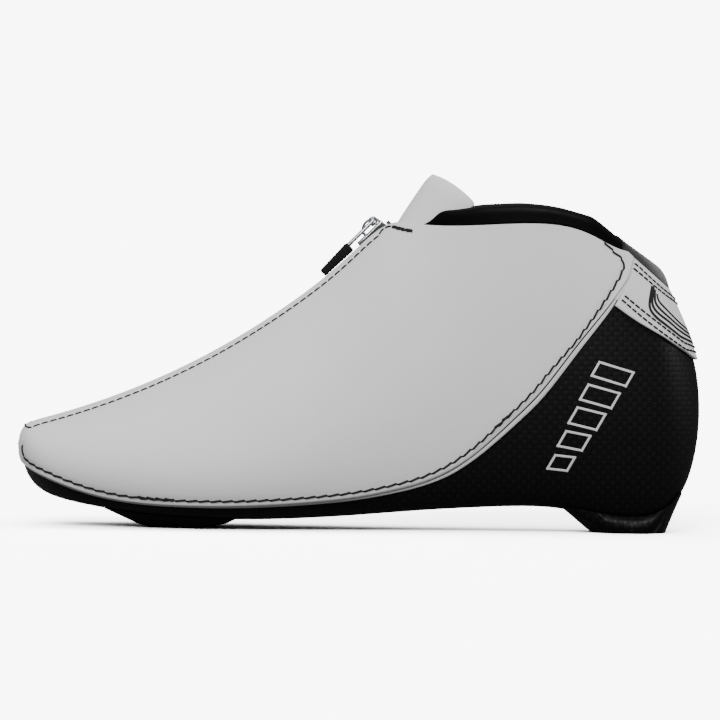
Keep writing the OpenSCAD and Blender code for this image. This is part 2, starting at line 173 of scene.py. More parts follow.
def studio():
    light = {"low": 0.06, "high": 1.1, "pale": 8.6, "floorSeen": 5.0}
    world = bpy.data.worlds.new("studioWorld")
    world.use_nodes = True
    bpy.context.scene.world = world
    sky = Shader("sky", world.node_tree)
    seen = sky.add("ShaderNodeLightPath", {}, {}, "Is Camera Ray")
    up = sky.add("ShaderNodeSeparateXYZ", {}, {0: sky.add("ShaderNodeTexCoord", {}, {}, "Generated")}, "Z")
    fill = (sky.one("ABSOLUTE", up) ** 1.4) * light["high"] + light["low"]
    glow = sky.add("ShaderNodeBackground", {}, {"Color": grey(1), "Strength": seen * light["pale"] + (1 - seen) * fill})
    sky.add("ShaderNodeOutputWorld", {}, {"Surface": glow})
    for name, towards, wide, strength in (
            ("keySun", (-0.12, -0.87, 0.5), 30, 4.1),
            ("topSun", (-0.2, 0.15, 0.9), 50, 0.9),
            ("backSun", (0.95, -0.1, 0.3), 20, 1.0)):
        ops.object.light_add(type="SUN")
        lamp = bpy.context.object
        lamp.name = name
        lamp.data.angle = math.radians(wide)
        lamp.data.energy = strength
        lamp.rotation_euler = Vector(towards).to_track_quat("Z", "Y").to_euler()
    ops.mesh.primitive_plane_add(size=30, location=(0, 0, -0.00005))
    floor = bpy.context.object
    floor.name = "paleFloor"
    paint = Shader("palePaint")
    seen = paint.add("ShaderNodeLightPath", {}, {}, "Is Camera Ray")
    quiet = paint.add("ShaderNodeBsdfDiffuse", {}, {"Color": grey(0.14)})
    bright = paint.add("ShaderNodeBsdfDiffuse", {}, {"Color": grey(light["floorSeen"])})
    both = paint.add("ShaderNodeMixShader", {}, {0: seen, 1: quiet, 2: bright})
    paint.add("ShaderNodeOutputMaterial", {}, {"Surface": both})
    floor.data.materials.append(paint.material)


studio()
print("studio ready")

# finishes


def carbonFinish():
    look = {"tow": 2.05 * mm, "dark": 0.0006, "light": 0.0042, "rough": 0.42}
    m = Shader("carbonWeave")
    x, y, z = m.place("X"), m.place("Y"), m.place("Z")
    facing = m.add("ShaderNodeNewGeometry", {}, {}, "Normal")
    nx = m.one("ABSOLUTE", m.add("ShaderNodeSeparateXYZ", {}, {0: facing}, "X"))
    nz = m.one("ABSOLUTE", m.add("ShaderNodeSeparateXYZ", {}, {0: facing}, "Z"))
    back, under = nx > 0.72, nz > 0.72
    u = (x + back * (y - x)) / look["tow"] + (m.noise(30, 1) - 0.5) * 0.5
    v = (z + under * (y - z)) / look["tow"] + (m.noise(34, 1) - 0.5) * 0.5
    over = ((m.one("FLOOR", u) + m.one("FLOOR", v)) % 2.0) > 0.5
    au, av = m.one("FRACT", u) * 2 - 1, m.one("FRACT", v) * 2 - 1
    crown = (over * (1 - av * av) * (1 - au * au * 0.4)) + ((1 - over) * (1 - au * au) * (1 - av * av * 0.4))
    cloud = m.noise(45, 2)
    # painted highlight: the colour is lighter on each tow's crown and lighter on the over tows than the under ones,
    # standing in for the weave's directional sheen; the cloud noise adds random tone
    colour = m.mix(crown * (over * 0.45 + 0.45) * (cloud * 0.8 + 0.5), grey(look["dark"]), grey(look["light"]))
    rough = look["rough"] + over * 0.08 + (m.noise(900, 1) - 0.5) * 0.10
    ripple = m.bump(crown + m.noise(300, 2) * 0.15, 0.10 * mm, 0.6)
    return m.finish(Base_Color=colour, Roughness=rough, Normal=ripple, Specular_IOR_Level=0.14)


def microfibreFinish(name, base, grain=1.0):
    m = Shader(name)
    cloud, fleck = m.noise(28, 3), m.noise(1500, 2)
    shade = (cloud - 0.5) * 0.5 + (fleck - 0.5) * 0.9 + 0.5
    colour = m.mix(shade, grey(base * 0.93), grey(base * 1.07))
    spot = m.add("ShaderNodeTexCoord", {}, {}, "Object")
    pits = m.add("ShaderNodeTexVoronoi", {"feature": "F1"}, {"Vector": spot, "Scale": 700.0}, "Distance")
    height = m.noise(420, 4) * 0.7 + pits * 0.35 + m.noise(60, 2) * 1.6
    return m.finish(Base_Color=colour, Roughness=0.72 + (fleck - 0.5) * 0.2,
                    Normal=m.bump(height, 0.10 * mm * grain, 0.5),
                    Sheen_Weight=0.18, Sheen_Roughness=0.5, Specular_IOR_Level=0.28)


def leatherFinish():
    m = Shader("collarLeather")
    spot = m.add("ShaderNodeTexCoord", {}, {}, "Object")
    cells = m.add("ShaderNodeTexVoronoi", {"feature": "DISTANCE_TO_EDGE"}, {"Vector": spot, "Scale": 900.0}, "Distance")
    height = m.one("MINIMUM", cells * 6) * 0.6 + m.noise(240, 3) * 0.8
    colour = m.mix(m.noise(80, 3), grey(0.0006), grey(0.002))
    return m.finish(Base_Color=colour, Roughness=0.46 + (m.noise(300, 2) - 0.5) * 0.16,
                    Normal=m.bump(height, 0.09 * mm, 0.5), Specular_IOR_Level=0.05)


def knitFinish():
    m = Shader("heelKnit")
    x, y, z = m.place("X"), m.place("Y"), m.place("Z")
    wale = m.one("SINE", (y * 1.0 + x * 0.6) * (2 * math.pi / (0.9 * mm)))
    course = m.one("SINE", (z + m.one("ABSOLUTE", wale) * 0.25 * mm) * (2 * math.pi / (0.7 * mm)))
    height = wale * 0.5 + course * 0.5
    # painted shade and highlight: the colour follows the knit's height, darker in its valleys and lighter on its crests
    colour = m.mix(height * 0.5 + 0.5, grey(0.007), grey(0.027))
    return m.finish(Base_Color=colour, Roughness=0.85, Normal=m.bump(height, 0.12 * mm, 0.7),
                    Sheen_Weight=0.3, Specular_IOR_Level=0.2)


def plainFinish(name, dark, light, rough, scale=300, depth=0.05, metallic=0.0, **more):
    m = Shader(name)
    colour = m.mix(m.noise(scale, 3), (*dark, 1), (*light, 1))
    return m.finish(Base_Color=colour, Roughness=rough + (m.noise(scale * 2, 2) - 0.5) * 0.12, Metallic=metallic,
                    Normal=m.bump(m.noise(scale * 3, 3), depth * mm, 0.5), **more)


def clothFinish(name, dark, light, pitch):
    m = Shader(name)
    x, y, z = m.place("X"), m.place("Y"), m.place("Z")
    a = m.one("SINE", (x + y * 0.5) * (2 * math.pi / (pitch * mm)))
    b = m.one("SINE", (z - y * 0.5) * (2 * math.pi / (pitch * mm)))
    height = a * b
    # partly painted shade: the colour follows the weave's height, darker in its hollows and lighter on its crossings;
    # partly random tone from the noise
    colour = m.mix(height * 0.4 + m.noise(60, 2) * 0.4 + 0.3, (*dark, 1), (*light, 1))
    return m.finish(Base_Color=colour, Roughness=0.88, Normal=m.bump(height, 0.06 * mm, 0.6), Specular_IOR_Level=0.2)


finishes = {
    "carbon": carbonFinish(),
    "cover": microfibreFinish("coverMicrofibre", 0.565),
    "tongue": microfibreFinish("tongueMicrofibre", 0.60, 1.5),
    "rand": microfibreFinish("randMicrofibre", 0.50),
    "collar": leatherFinish(),
    "knit": knitFinish(),
    "lining": clothFinish("liningCloth", (0.02, 0.02, 0.022), (0.05, 0.05, 0.055), 0.8),
    "zip_tape": clothFinish("tapeCloth", (0.008, 0.008, 0.008), (0.03, 0.03, 0.03), 0.6),
    "foam": plainFinish("padFoam", (0.02, 0.02, 0.022), (0.05, 0.05, 0.055), 0.9, 700, 0.12),
    "board": plainFinish("fibreBoard", (0.32, 0.24, 0.15), (0.5, 0.4, 0.27), 0.9, 500, 0.05),
    "insert_steel": plainFinish("zincSteel", (0.5, 0.5, 0.49), (0.62, 0.62, 0.63), 0.36, 400, 0.01, 1.0),
    "chrome": plainFinish("chromePlate", (0.34, 0.345, 0.36), (0.46, 0.47, 0.49), 0.2, 300, 0.006, 1.0),
    "zip_teeth": plainFinish("nylonTeeth", (0.004, 0.004, 0.004), (0.014, 0.014, 0.014), 0.42, 900, 0.02),
    "rubber": plainFinish("sleeveRubber", (0.002, 0.002, 0.002), (0.004, 0.004, 0.004), 0.65, 900, 0.04,
                          Specular_IOR_Level=0.12),
    "thread": plainFinish("blackThread", (0.002, 0.002, 0.002), (0.007, 0.007, 0.007), 0.7, 2600, 0.08,
                          Specular_IOR_Level=0.25),
    # painted shade: a darker microfibre for the thin welt line along the cover's rear fold
    "fold": microfibreFinish("foldMicrofibre", 0.34),
    "print": plainFinish("palePrint", (0.46, 0.46, 0.465), (0.56, 0.56, 0.565), 0.45, 500, 0.01),
}
for part in frame["record"]["subparts"]:
    node = frame["nodes"][part["node"]]
    node.data.materials.clear()
    node.data.materials.append(finishes[part["material_slot"]])
print("finishes ready")

# helpers for making pieces


def pick(thing):
    if bpy.context.object and bpy.context.object.mode != "OBJECT":
        ops.object.mode_set(mode="OBJECT")
    ops.object.select_all(action="DESELECT")
    thing.select_set(True)
    bpy.context.view_layer.objects.active = thing
    return thing


def modify(thing, kind, **settings):
    pick(thing)
    change = thing.modifiers.new(kind.lower(), kind)
    for key, value in settings.items():
        setattr(change, key, value)
    ops.object.modifier_apply(modifier=change.name)
    return thing


def smoothCopy(node, name, levels, finish, smooth=60):  # a copy of a cad node, its sharp edges kept
    source = frame["nodes"][node]
    thing = bpy.data.objects.new(name, source.data.copy())
    bpy.context.collection.objects.link(thing)
    pick(thing)
    ops.object.mode_set(mode="EDIT")
    ops.mesh.select_all(action="SELECT")
    ops.mesh.remove_doubles(threshold=0.002 * mm)
    ops.mesh.tris_convert_to_quads(face_threshold=math.radians(40), shape_threshold=math.radians(70))
    ops.mesh.select_all(action="DESELECT")
    ops.mesh.select_mode(type="EDGE")
    ops.mesh.edges_select_sharp(sharpness=math.radians(50))
    ops.transform.edge_crease(value=1.0)
    ops.mesh.select_all(action="SELECT")
    ops.object.mode_set(mode="OBJECT")
    if levels:
        modify(thing, "SUBSURF", levels=levels, render_levels=levels)
    pick(thing)
    ops.object.shade_smooth_by_angle(angle=math.radians(smooth))
    thing.data.materials.clear()
    thing.data.materials.append(finishes[finish])
    return thing


def stand(thing, body, node=None):
    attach(thing, body)
    if node:
        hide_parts(node)
    return thing


def newMesh(name, points, faces, finish):
    data = bpy.data.meshes.new(name)
    data.from_pydata([tuple(p) for p in points], [], faces)
    data.update()
    thing = bpy.data.objects.new(name, data)
    bpy.context.collection.objects.link(thing)
    data.materials.append(finishes[finish])
    pick(thing)
    ops.object.mode_set(mode="EDIT")
    ops.mesh.select_all(action="SELECT")
    ops.mesh.normals_make_consistent(inside=False)
    ops.object.mode_set(mode="OBJECT")
    ops.object.shade_smooth_by_angle(angle=math.radians(50))
    return thing


def treeOf(thing):
    corners = [v.co for v in thing.data.vertices]
    return BVHTree.FromPolygons(corners, [tuple(p.vertices) for p in thing.data.polygons])


# shell, cover, straps

for node, name, slot, finish, levels in (
        ("carbon_shell", "carbonShell", "carbon", "carbon", 1),
        ("front_mount_block", "frontBlock", "carbon", "carbon", 1),
        ("heel_mount_block", "heelBlock", "carbon", "carbon", 1),
        ("cover_lateral", "coverLateral", "cover", "cover", 3),
        ("cover_medial", "coverMedial", "cover", "cover", 3),
        ("toe_bridge", "toeBridge", "cover", "cover", 2),
        ("rand_lateral", "randLateral", "cover", "rand", 1),
        ("rand_medial", "randMedial", "cover", "rand", 1),
        ("rear_strap", "rearStrap", "cover", "cover", 3),
        ("heel_tab", "heelTab", "knit", "knit", 2),
        ("collar_lateral", "collarLateral", "collar", "collar", 2),
        ("collar_medial", "collarMedial", "collar", "collar", 2),
        ("shell_lining", "shellLining", "lining", "lining", 1),
        ("footbed", "footbedTop", "foam", "foam", 1)):
    stand(smoothCopy(node, name, levels, finish=finish), "boot", node)
things = bpy.data.objects
collar = {"start": 93, "end": 104.5, "reach": (3.8, -0.9, -3.4), "front": 33, "lift": 1.3, "slim": 0.4, "rise": 1.1}
for word, side in (("Lateral", -1), ("Medial", 1)):
    points = things["collar" + word].data.vertices
    last = [v.co for v in points if v.co.x / mm > collar["end"] - 3]
    heart = sum(last, Vector()) / len(last)
    for v in points:
        x, z = v.co.x / mm, v.co.z / mm
        late = min(1.0, max(0.0, (x - collar["start"]) / (collar["end"] - collar["start"]))) ** 2
        early = collar["lift"] * math.exp(-((x - collar["front"]) / 6) ** 2) if z > 127.5 else 0.0
        rise = collar["rise"] * min(1.0, max(0.0, (x - 38) / 12)) * (1 - late)
        v.co.y += (heart.y - v.co.y) * collar["slim"] * late
        v.co += Vector((collar["reach"][0] * late, side * collar["reach"][1] * late,
                        collar["reach"][2] * late + rise + early * min(1.0, (z - 127.5) / 3))) * mm
print("shell and cover ready")

# seams


def hitSide(tree, x, z, side):
    return tree.ray_cast(Vector((x, side * 0.2, z)), Vector((0, -side, 0)))


def sideOutline(tree, side):  # outline of a piece in the side view, as points (x, z)
    centre, found = (20 * mm, 70 * mm), []
    for turn in np.linspace(0, 2 * math.pi, 1500, endpoint=False):
        near, far = 0.0, 0.25
        for _ in range(16):
            reach = (near + far) / 2
            hit = hitSide(tree, centre[0] + reach * math.cos(turn), centre[1] + reach * math.sin(turn), side)
            near, far = (reach, far) if hit[0] is not None else (near, reach)
        found.append((centre[0] + near * math.cos(turn), centre[1] + near * math.sin(turn)))
    return np.array(found)


def respace(line, gap, closed=False):
    line = np.asarray(line, float)
    if closed:
        line = np.vstack([line, line[:1]])
    along = np.concatenate([[0], np.cumsum(np.linalg.norm(np.diff(line, axis=0), axis=1))])
    spots = np.linspace(0, along[-1], max(3, int(round(along[-1] / gap)) + 1))
    line = np.stack([np.interp(spots, along, line[:, k]) for k in range(line.shape[1])], axis=1)
    return line[:-1] if closed else line


def inward(line, amount):  # a closed outline moved towards its inside
    ahead, behind = np.roll(line, -3, axis=0), np.roll(line, 3, axis=0)
    run = ahead - behind
    run /= np.linalg.norm(run, axis=1)[:, None]
    return line + np.stack([-run[:, 1], run[:, 0]], axis=1) * amount


def between(line, start, end):  # the part of a closed line from one point to another, in its own order
    a = int(np.argmin(np.linalg.norm(line - np.array(start), axis=1)))
    b = int(np.argmin(np.linalg.norm(line - np.array(end), axis=1)))
    return line[a:b + 1] if a <= b else np.vstack([line[a:], line[:b + 1]])


def onSide(tree, line, side):
    points, normals = [], []
    for x, z in line:
        hit = hitSide(tree, x, z, side)
        if hit[0] is not None:
            points.append(np.array(hit[0]))
            normals.append(np.array(hit[1]))
    return np.array(points), np.array(normals)


def threadRow(name, points, normals, pitch, radius, slant=0.0, fill=3.2, dip=1.5):  # a thread that dips at each stitch
    rings, sides = 8, 6
    run = np.linalg.norm(np.diff(points, axis=0), axis=1)
    along = np.concatenate([[0], np.cumsum(run)])
    count = max(1, int(round(along[-1] / pitch)))
    spots = np.linspace(0, along[-1], count * rings + 1)
    line = np.stack([np.interp(spots, along, points[:, k]) for k in range(3)], axis=1)
    up = np.stack([np.interp(spots, along, normals[:, k]) for k in range(3)], axis=1)
    up /= np.linalg.norm(up, axis=1)[:, None]
    ahead = np.gradient(line, axis=0)
    ahead /= np.linalg.norm(ahead, axis=1)[:, None]
    across = np.cross(up, ahead)
    phase = (np.arange(len(spots)) % rings) / rings
    rise = radius * (-dip + (dip + 0.6) * np.minimum(1, fill * np.sin(math.pi * phase)))
    line = line + up * rise[:, None] + across * (slant * (phase - 0.5))[:, None]
    corners, faces = [], []
    for p, a, b in zip(line, up, across):
        for k in range(sides):
            turn = 2 * math.pi * k / sides
            corners.append(p + radius * (a * math.cos(turn) * 0.85 + b * math.sin(turn)))
    for i in range(len(line) - 1):
        for k in range(sides):
            j = (k + 1) % sides
            faces.append((i * sides + k, i * sides + j, (i + 1) * sides + j, (i + 1) * sides + k))
    faces.append(tuple(range(sides - 1, -1, -1)))
    faces.append(tuple(range((len(line) - 1) * sides, len(line) * sides)))
    return stand(newMesh(name, corners, faces, "thread"), "boot")


def press(thing, points, normals, depth, wide):  # a shallow valley in the surface along a seam
    if not depth:
        return
    near = KDTree(len(points))
    for i, p in enumerate(points):
        near.insert(p, i)
    near.balance()
    count = len(thing.data.vertices)
    places, facing = np.empty(count * 3), np.empty(count * 3)
    thing.data.vertices.foreach_get("co", places)
    thing.data.vertex_normals.foreach_get("vector", facing)
    places, facing = places.reshape(-1, 3), facing.reshape(-1, 3)
    low, high = points.min(axis=0) - wide, points.max(axis=0) + wide
    for k in np.where(((places > low) & (places < high)).all(axis=1))[0]:
        _, i, gap = near.find(places[k])
        if gap < wide and facing[k] @ normals[i] > 0.3:
            places[k] -= normals[i] * depth * (1 - (gap / wide) ** 2) ** 2
    thing.data.vertices.foreach_set("co", places.ravel())
    thing.data.update()


def sew(thing, name, points, normals, pitch, radius, groove=0.22, **more):
    fine = respace(points, 0.5 * mm)
    along = np.linspace(0, 1, len(points))
    up = np.stack([np.interp(np.linspace(0, 1, len(fine)), along, normals[:, k]) for k in range(3)], axis=1)
    press(thing, fine, up, groove * mm, 1.9 * mm)
    return threadRow(name, points - normals * groove * 0.8 * mm, normals, pitch, radius, **more)


def spots(*pairs):  # design points (x, z) in mm, moved into the frame
    return np.array([(x + 0.145, z) for x, z in pairs]) * mm


def curve(pairs, gap=1.0):  # a smooth line through given side-view points
    line = spots(*pairs)
    for _ in range(3):
        cut = [line[0]]
        for p, q in zip(line[:-1], line[1:]):
            cut += [p * 0.75 + q * 0.25, p * 0.25 + q * 0.75]
        line = np.array(cut + [line[-1]])
    return respace(line, gap * mm)


seams = {"edge": 2.4 * mm, "edgePitch": 4.9 * mm, "edgeThread": 0.45 * mm,
         "zip": 2.0 * mm, "zipPitch": 3.6 * mm, "zipThread": 0.4 * mm,
         "rearTop": ((99.4, 121.6), (104, 116.8), (107.7, 114), (108.5, 111), (107, 107), (101.5, 98),
                     (95, 88.4), (89, 80)),
         "topCorner": ((9, 124.8), (11, 125.9), (13.5, 126.2), (17, 125.2), (21, 124.6))}
zipEnds = {}
for side, word in ((-1, "Lateral"), (1, "Medial")):
    cover = things["cover" + word]
    tree = treeOf(cover)
    outline = respace(sideOutline(tree, side), mm, closed=True)
    row = inward(outline, seams["edge"])
    low = between(row, spots((-138, 33))[0], spots((79, 65.5))[0])
    line = np.vstack([low, curve(seams["rearTop"])[::-1]])
    points, normals = onSide(tree, respace(line, mm), side)
    sew(cover, "edgeSeam" + word, points, normals, seams["edgePitch"], seams["edgeThread"], slant=0.75 * mm, dip=0.35)
    for name, start, end in (("toeTack", (-90, 14.4), (-75, 13.6)), ("heelTack", (56, 44), (62, 50.4))):
        part = between(row, spots(start)[0], spots(end)[0])
        points, normals = onSide(tree, respace(part + [0, 0.25 * mm], mm), side)
        sew(cover, name + word, points, normals, 4.1 * mm, seams["edgeThread"] * 1.15, groove=0,
            slant=-0.6 * mm, dip=0.3)
    row = inward(outline, seams["zip"])
    top = curve(seams["topCorner"])[::-1]
    down = between(row, spots((7, 122.5))[0], spots((-134.5, 40.5))[0])
    points, normals = onSide(tree, respace(np.vstack([top, down]), mm), side)
    zipEnds[side] = points[-1]
    sew(cover, "zipSeam" + word, points, normals, seams["zipPitch"], seams["zipThread"], groove=0.15, fill=1.9)
    for k, lift in enumerate((0, 0.45)):
        tack = curve(((13, 126.1 - lift), (17, 125 - lift), (21.3, 124.3 - lift)))
        points, normals = onSide(tree, tack, side)
        sew(cover, f"cornerTack{k}{word}", points, normals, 2.4 * mm, seams["zipThread"] * 1.1, groove=0,
            slant=0.5 * mm, dip=0.4)
trees = [treeOf(things[name]) for name in ("coverLateral", "coverMedial", "toeBridge")]
points, normals = [], []
for turn in np.linspace(0, math.pi, 24):
    x = (zipEnds[-1][0] + zipEnds[1][0]) / 2 - 3.4 * mm * math.sin(turn)
    y = zipEnds[-1][1] + (zipEnds[1][1] - zipEnds[-1][1]) * (1 - math.cos(turn)) / 2
    hits = [t.ray_cast(Vector((x, y, 0.2)), Vector((0, 0, -1))) for t in trees]
    hits = [h for h in hits if h[0] is not None]
    if hits:
        best = max(hits, key=lambda h: h[0].z)
        points.append(np.array(best[0]))
        normals.append(np.array(best[1]))
threadRow("zipEndSeam", np.array(points), np.array(normals), seams["zipPitch"], seams["zipThread"], fill=1.9)
print("cover sewn")

strapLines = {"rows": (((108.6, 115.4), (111.8, 112.9), (118, 108.2), (124.6, 102.4), (129.3, 97.4)),
                       ((108.2, 113.4), (111.6, 110.8), (117.6, 106), (124, 100.4), (130.2, 94.4)),
                       ((100.6, 105), (107, 100.4), (116, 93), (126, 85.5), (138, 76.6)),
                       ((99.4, 103.4), (105.6, 99), (115, 91), (125, 83.4), (138, 74.6))),
              "pitch": 2.9 * mm, "thread": 0.4 * mm}
strapTree = treeOf(things["rearStrap"])


def aroundBack(pairs, side, back):  # a line on the strap's side, carried on to mid heel at height back
    points, normals = onSide(strapTree, curve(pairs), side)
    keep = [i for i in range(len(points)) if abs(normals[i][1]) > 0.5]
    points, normals = list(points[keep]), list(normals[keep])
    middle = 100.145 * mm
    start = math.atan2(points[-1][1], points[-1][0] - middle)
    high = points[-1][2]
    steps = max(4, int(abs(start) * 32))
    for k in range(1, steps + 1):
        turn = start * (1 - k / steps)
        z = high + (back * mm - high) * (1 - (1 - k / steps) ** 2)
        out = Vector((math.cos(turn), math.sin(turn), 0))
        hit = strapTree.ray_cast(Vector((middle, 0, z)) + out * 0.2, -out)
        if hit[0] is not None:
            points.append(np.array(hit[0]))
            normals.append(np.array(hit[1]))
    return np.array(points), np.array(normals)


for side, word in ((-1, "Lateral"), (1, "Medial")):
    for k, (row, back) in enumerate(zip(strapLines["rows"], (96.8, 94.8, 77.2, 75.2))):
        points, normals = aroundBack(row, side, back)
        sew(things["rearStrap"], f"strapSeam{k}{word}", points, normals, strapLines["pitch"], strapLines["thread"],
            groove=0.12, fill=1.7)


def ribbon(name, points, normals, width, thick, finish, taper=False):  # a flat raised band on the surface
    ahead = np.gradient(points, axis=0)
    ahead /= np.linalg.norm(ahead, axis=1)[:, None]
    across = np.cross(normals, ahead)
    corners, faces = [], []
    count = len(points)
    for i, (p, n, c) in enumerate(zip(points, normals, across)):
        ends = min(1.0, 0.15 + min(i, count - 1 - i) / 3) if taper else 1.0
        w = width * ends / 2
        for a, h in ((-1, -0.3), (-0.9, 0.7), (-0.5, 1), (0.5, 1), (0.9, 0.7), (1, -0.3)):
            corners.append(p + c * a * w + n * h * thick)
    for i in range(count - 1):
        for k in range(6):
            j = (k + 1) % 6
            faces.append((i * 6 + k, i * 6 + j, (i + 1) * 6 + j, (i + 1) * 6 + k))
    faces += [tuple(range(5, -1, -1)), tuple(range((count - 1) * 6, count * 6))]
    return stand(newMesh(name, corners, faces, finish), "boot")


sweepLines = ((78.8, ((120.2, 102.8), (119.4, 98), (119, 94), (121.5, 90.4), (127, 86.4), (135, 80.2))),
              (80.2, ((120.9, 102.6), (120.3, 98.2), (120.3, 94.8), (122.8, 91.6), (128, 88), (134.8, 81.8))),
              (81.6, ((121.6, 102.4), (121.3, 98.4), (121.7, 95.6), (124.2, 92.8), (129, 88.8), (134.6, 83.6))),
              (83, ((122.3, 101.6), (122.4, 98.6), (123.2, 96.4), (125.6, 94), (130, 89.8), (134.4, 85.7))))
for side, word in ((-1, "Lateral"), (1, "Medial")):
    for k, (back, line) in enumerate(sweepLines):
        points, normals = aroundBack(line, side, back)
        ribbon(f"strapLine{k}{word}", points, normals, 1.2 * mm, 0.16 * mm, "thread")
print("strap sewn")

# welt beside the rear edge of the cover, its darker microfibre a painted shade line along the fold

for side, word in ((-1, "Lateral"), (1, "Medial")):
    tree = treeOf(things["cover" + word])
    outline = respace(sideOutline(tree, side), mm, closed=True)
    part = between(inward(outline, 1.35 * mm), spots((47, 33))[0], spots((103.5, 97.5))[0])
    points, normals = onSide(tree, respace(part, 1.5 * mm), side)
    ribbon("rearFold" + word, points, normals, 0.45 * mm, 0.10 * mm, "fold", taper=True)
    both = treeOf(things["rearStrap"]), tree
    line = curve(((103.8, 98.6), (107.6, 103.6), (110, 108), (110.6, 113.6)))
    hits = [max((hitSide(t, x, z, side) for t in both), key=lambda h: -1 if h[0] is None else h[0].y * side)
            for x, z in line]
    hits = [h for h in hits if h[0] is not None]
    points, normals = np.array([h[0] for h in hits]), np.array([h[1] for h in hits])
    ribbon("rearUnderlay" + word, points - normals * 1.3 * mm, normals, 5.5 * mm, 0.5 * mm, "cover")

# pale bars on the heel

bars = {"centre": (94, 48), "lean": 61, "gap": 10.6, "slant": 1.6, "line": 0.95,
        "wide": (6.4, 7, 7.4, 7, 6.4), "tall": (7.5, 9.6, 11.4, 13, 14.4)}
carbonTree = treeOf(things["carbonShell"])
lean = math.radians(bars["lean"])
for side, word in ((-1, "Lateral"), (1, "Medial")):
    for k in range(5):
        step = (k - 2) * bars["gap"]
        w, h = bars["wide"][k] / 2, bars["tall"][k] / 2
        s = bars["slant"]
        corner = ((-w - s, -h), (w - s, -h), (w + s, h), (-w + s, h), (-w - s, -h))
        line = [(bars["centre"][0] + (step + a) * math.cos(lean) + b * math.sin(lean),
                 bars["centre"][1] + (step + a) * math.sin(lean) - b * math.cos(lean)) for a, b in corner]
        for j in range(4):
            start, end = spots(line[j])[0], spots(line[j + 1])[0]
            reach = (end - start) / np.linalg.norm(end - start) * bars["line"] * mm / 2
            points, normals = onSide(carbonTree, respace([start - reach, end + reach], 0.7 * mm), side)
            ribbon(f"heelBar{k}{j}{word}", points, normals, bars["line"] * mm, 0.05 * mm, "print")
print("heel bars ready")

# zip

zipper = {"x": -208.855, "z": 339, "radius": 304.6, "bottom": -75.3, "top": -47.0, "pitch": 1.55, "wire": 0.36}
centre = Vector((zipper["x"] * mm, -0.336 * mm, zipper["z"] * mm))


def onArc(angle, radius, y=0.0):
    turn = math.radians(angle)
    return centre + Vector((radius * math.cos(turn), y, radius * math.sin(turn))) * mm


def arcCopies(name, model, angles):  # copies of one piece, turned about the zip's own centre and joined
    made = []
    for angle in angles:
        one = bpy.data.objects.new(name, model.data.copy())
        bpy.context.collection.objects.link(one)
        pick(one)
        one.rotation_euler = (0, -math.radians(angle), 0)
        one.location = centre
        ops.object.transform_apply(location=True, rotation=True, scale=True)
        made.append(one)
    for one in made:
        one.select_set(True)
    bpy.context.view_layer.objects.active = made[0]
    ops.object.join()
    made[0].name = name
    return made[0]


def coilLoop(side):  # one turn of nylon coil, clear of the slider neck
    wire = zipper["wire"] * mm
    ops.mesh.primitive_cylinder_add(vertices=6, radius=wire, depth=2.2 * mm, rotation=(math.radians(90), 0, 0),
                                    location=((zipper["radius"] + 0.45) * mm, side * 1.4 * mm, 0))
    loop = pick(bpy.context.object)
    ops.object.transform_apply(location=True, rotation=True, scale=True)
    modify(loop, "BEVEL", width=0.16 * mm, segments=1, limit_method="ANGLE", angle_limit=math.radians(60))
    loop.data.materials.append(finishes["zip_teeth"])
    ops.object.shade_smooth()
    return loop


for side, word, shift in ((-1, "Lateral", 0.0), (1, "Medial", 0.5)):
    loop = coilLoop(side)
    turn = math.degrees(zipper["pitch"] / zipper["radius"])
    count = int((zipper["top"] - zipper["bottom"]) / turn)
    coil = arcCopies("zipCoil" + word, loop, [zipper["bottom"] + (k + shift) * turn for k in range(count)])
    bpy.data.objects.remove(loop)
    stand(coil, "boot")
for node, name, wide, body in (
        ("slider_body", "sliderBody", 0.35, "zip_slider"),
        ("slider_bridge", "sliderBridge", 0.3, "zip_slider"),
        ("pull_link", "pullWire", 0.0, "zip_pull")):
    piece = smoothCopy(node, name, 0, "chrome", smooth=40)
    if wide:
        modify(piece, "BEVEL", width=wide * mm, segments=3, limit_method="ANGLE",
               angle_limit=math.radians(35), use_clamp_overlap=True)
    ops.object.shade_smooth_by_angle(angle=math.radians(40))
    stand(piece, body, node)

crown = {"angle": -45.05, "radius": 302.2, "ring": 4.1, "rod": 0.62, "foot": 0.6}
ops.mesh.primitive_torus_add(major_radius=crown["ring"] * mm, minor_radius=crown["rod"] * mm,
                             major_segments=48, minor_segments=12,
                             location=(crown["radius"] * mm, 0, 0), rotation=(math.radians(90), 0, 0))
arch = pick(bpy.context.object)
ops.object.transform_apply(location=True, rotation=True, scale=True)
ops.object.mode_set(mode="EDIT")
ops.mesh.select_all(action="SELECT")
ops.mesh.bisect(plane_co=((crown["radius"] + crown["foot"]) * mm, 0, 0), plane_no=(1, 0, 0),
                use_fill=True, clear_outer=True)
ops.mesh.select_all(action="SELECT")
ops.transform.resize(value=(0.86, 2.0, 1.0), center_override=((crown["radius"] + crown["foot"]) * mm, 0, 0))
ops.object.mode_set(mode="OBJECT")
arch.name = "sliderCrown"
arch.rotation_euler = (0, -math.radians(crown["angle"]), 0)
arch.location = centre
ops.object.transform_apply(location=True, rotation=True, scale=True)
arch.data.materials.append(finishes["chrome"])
ops.object.shade_smooth_by_angle(angle=math.radians(40))
stand(arch, "zip_slider")

pull = {"pivot": onArc(-44.6, 300.4), "dir": 135.2, "start": 14.1, "long": 16, "wide": 8.8, "thick": 4.6,
        "tail": 0.74, "low": 0.9, "ribs": 9}


